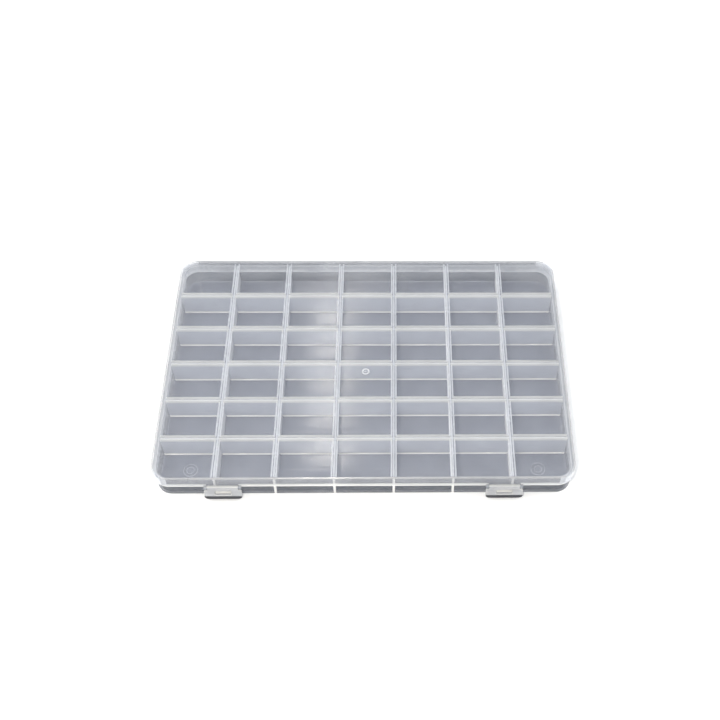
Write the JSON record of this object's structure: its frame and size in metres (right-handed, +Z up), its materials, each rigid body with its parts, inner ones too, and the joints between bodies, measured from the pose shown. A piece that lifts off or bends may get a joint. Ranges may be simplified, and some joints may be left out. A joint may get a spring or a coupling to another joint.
{
  "type": "compartment storage box",
  "caption": "Flat clear plastic compartment box with a hinged lid, a grid of dividers and front latch tabs.",
  "frame": {"origin": "centre of the tray's underside, on the surface that the box lies on", "axes": "+Z up, +X along the long side to the right seen from the front, the latches at -Y, the hinge at +Y"},
  "size_m": [0.2746, 0.1958, 0.0213],
  "materials": {
    "tray_plastic": "clear, slightly hazy, gloss",
    "divider_plastic": "clear, slightly hazy, gloss",
    "lid_plastic": "clear, slightly hazy, gloss",
    "latch_plastic": "clear, slightly hazy, gloss",
    "pin_plastic": "clear, slightly hazy, gloss"
  },
  "bodies": {
    "tray_body": {"tray": "tray_plastic", "row_divider_1": "divider_plastic", "row_divider_2": "divider_plastic", "row_divider_3": "divider_plastic", "row_divider_4": "divider_plastic", "row_divider_5": "divider_plastic", "column_divider_1": "divider_plastic", "column_divider_2": "divider_plastic", "column_divider_3": "divider_plastic", "column_divider_4": "divider_plastic", "column_divider_5": "divider_plastic", "column_divider_6": "divider_plastic", "hinge_pin_left": "pin_plastic", "hinge_pin_right": "pin_plastic"},
    "lid_body": {"lid": "lid_plastic", "latch_pin_left": "pin_plastic", "latch_pin_right": "pin_plastic"},
    "latch_left_body": {"latch_left": "latch_plastic"},
    "latch_right_body": {"latch_right": "latch_plastic"}
  },
  "joints": [
    {"name": "lid_hinge", "type": "hinge", "parent": "tray_body", "child": "lid_body", "pos_m": [0, 0.09645, 0.0114], "axis": [-1, 0, 0], "range_deg": [0, 180]},
    {"name": "latch_left_hinge", "type": "hinge", "parent": "lid_body", "child": "latch_left_body", "pos_m": [-0.09105, -0.094, 0.0113], "axis": [-1, 0, 0], "range_deg": [0, 110]},
    {"name": "latch_right_hinge", "type": "hinge", "parent": "lid_body", "child": "latch_right_body", "pos_m": [0.09105, -0.094, 0.0113], "axis": [-1, 0, 0], "range_deg": [0, 110]}
  ]
}
